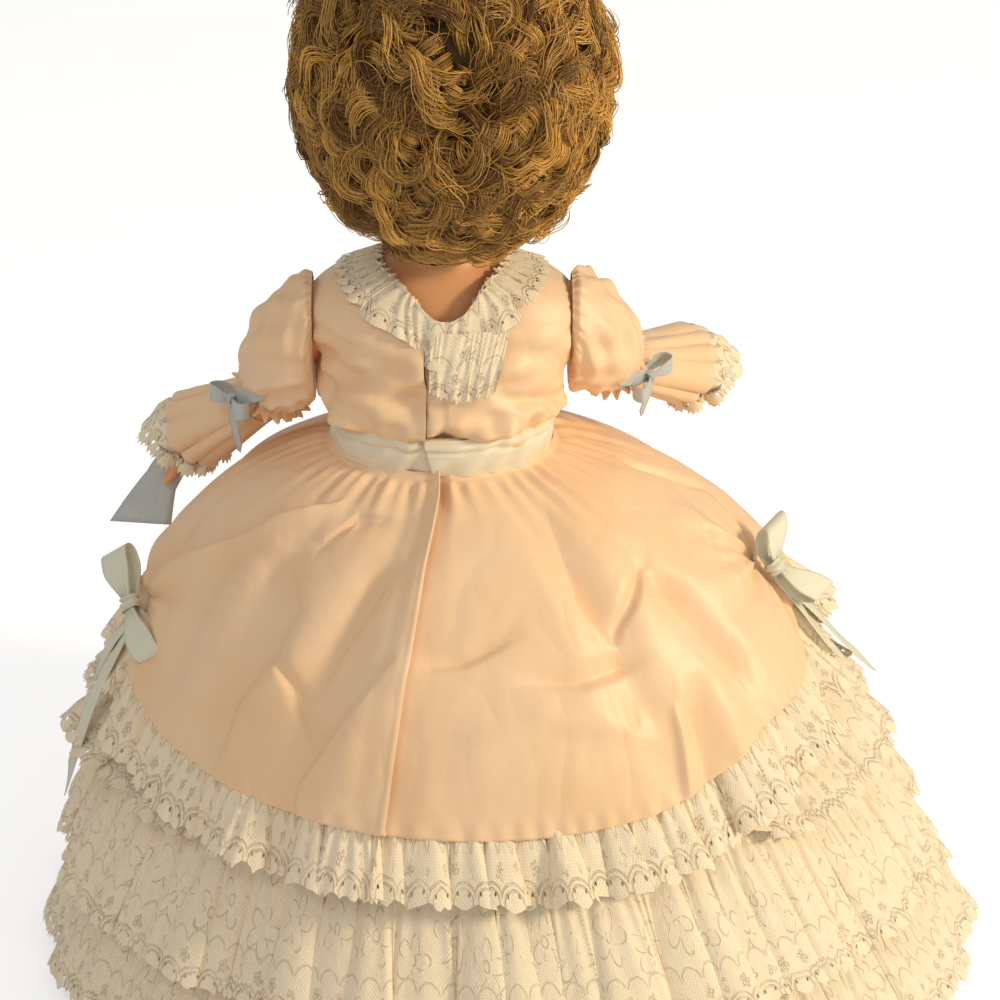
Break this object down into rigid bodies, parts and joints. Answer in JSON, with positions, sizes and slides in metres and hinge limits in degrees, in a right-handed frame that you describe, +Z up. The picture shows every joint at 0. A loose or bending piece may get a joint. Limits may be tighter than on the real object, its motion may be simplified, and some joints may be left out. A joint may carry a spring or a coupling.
{
  "type": "vinyl doll",
  "caption": "Standing jointed vinyl doll with short curly hair, in a full looped-up taffeta gown with lace flounces, a sash and ribbon bows.",
  "frame": {"origin": "on the floor the doll stands on, under the middle of its whole outline; the doll's own upright axis is 21.4 mm towards +X of it, because the skirt leans to the doll's right", "axes": "+Z up, the doll faces -Y, its left hand is on +X"},
  "size_m": [0.3108, 0.2418, 0.3542],
  "materials": {
    "vinyl": "satin skin-coloured soft vinyl",
    "hair": "golden brown curled synthetic hair",
    "eye": "glossy",
    "lash": "dark bristle",
    "steel": "plain",
    "taffeta": "peach taffeta with a soft sheen",
    "lace": "cream cotton lace",
    "net": "stiff net",
    "cotton": "matt white cotton",
    "sash_satin": "pale satin",
    "bow_satin": "pale satin ribbon",
    "blue_satin": "silver blue satin ribbon",
    "shoe_vinyl": "glossy white vinyl",
    "snap_metal": "nickel plated"
  },
  "bodies": {
    "torso": {"torso": "vinyl", "pantalet_yoke": "cotton", "petticoat": "net", "underskirt": "taffeta", "flounce_top": "lace", "flounce_upper": "lace", "flounce_middle": "lace", "flounce_lower": "lace", "overskirt": "taffeta", "overskirt_trim": "lace", "waistband": "taffeta", "bodice": "taffeta", "collar_lace": "lace", "placket_lace": "lace", "press_stud_upper": "snap_metal", "press_stud_lower": "snap_metal", "sash": "sash_satin", "skirt_bow_left": "bow_satin", "skirt_bow_right": "bow_satin"},
    "head": {"head": "vinyl", "hair": "hair"},
    "eyes": {"eyeball_left": "eye", "eyeball_right": "eye", "eyelash_left": "lash", "eyelash_right": "lash", "eye_rocker": "steel", "eye_weight": "steel"},
    "arm_left": {"arm_left": "vinyl", "sleeve_left": "taffeta", "sleeve_flounce_left": "taffeta", "cuff_lace_left": "lace", "sleeve_bow_left": "blue_satin"},
    "arm_right": {"arm_right": "vinyl", "sleeve_right": "taffeta", "sleeve_flounce_right": "taffeta", "cuff_lace_right": "lace", "sleeve_bow_right": "blue_satin"},
    "leg_left": {"leg_left": "vinyl", "pantalet_left": "cotton", "sock_left": "cotton", "shoe_left": "shoe_vinyl", "shoe_sole_left": "shoe_vinyl", "shoe_strap_left": "shoe_vinyl", "shoe_button_left": "snap_metal"},
    "leg_right": {"leg_right": "vinyl", "pantalet_right": "cotton", "sock_right": "cotton", "shoe_right": "shoe_vinyl", "shoe_sole_right": "shoe_vinyl", "shoe_strap_right": "shoe_vinyl", "shoe_button_right": "snap_metal"}
  },
  "joints": [
    {"name": "head_turn", "type": "hinge", "parent": "torso", "child": "head", "pos_m": [0.0214, 0, 0.2495], "axis": [0, 0, 1], "range_deg": [-90, 90]},
    {"name": "eyes_close", "type": "hinge", "parent": "head", "child": "eyes", "pos_m": [0.0214, -0.02356, 0.297], "axis": [1, 0, 0], "range_deg": [0, 42]},
    {"name": "shoulder_left", "type": "hinge", "parent": "torso", "child": "arm_left", "pos_m": [0.0529, 0, 0.226], "axis": [-1, 0, 0], "range_deg": [0, 140]},
    {"name": "shoulder_right", "type": "hinge", "parent": "torso", "child": "arm_right", "pos_m": [-0.0101, 0, 0.226], "axis": [-1, 0, 0], "range_deg": [-13, 122]},
    {"name": "hip_left", "type": "hinge", "parent": "torso", "child": "leg_left", "pos_m": [0.0374, 0, 0.15], "axis": [-1, 0, 0], "range_deg": [-35, 28]},
    {"name": "hip_right", "type": "hinge", "parent": "torso", "child": "leg_right", "pos_m": [0.0054, 0, 0.15], "axis": [-1, 0, 0], "range_deg": [-35, 28]}
  ]
}
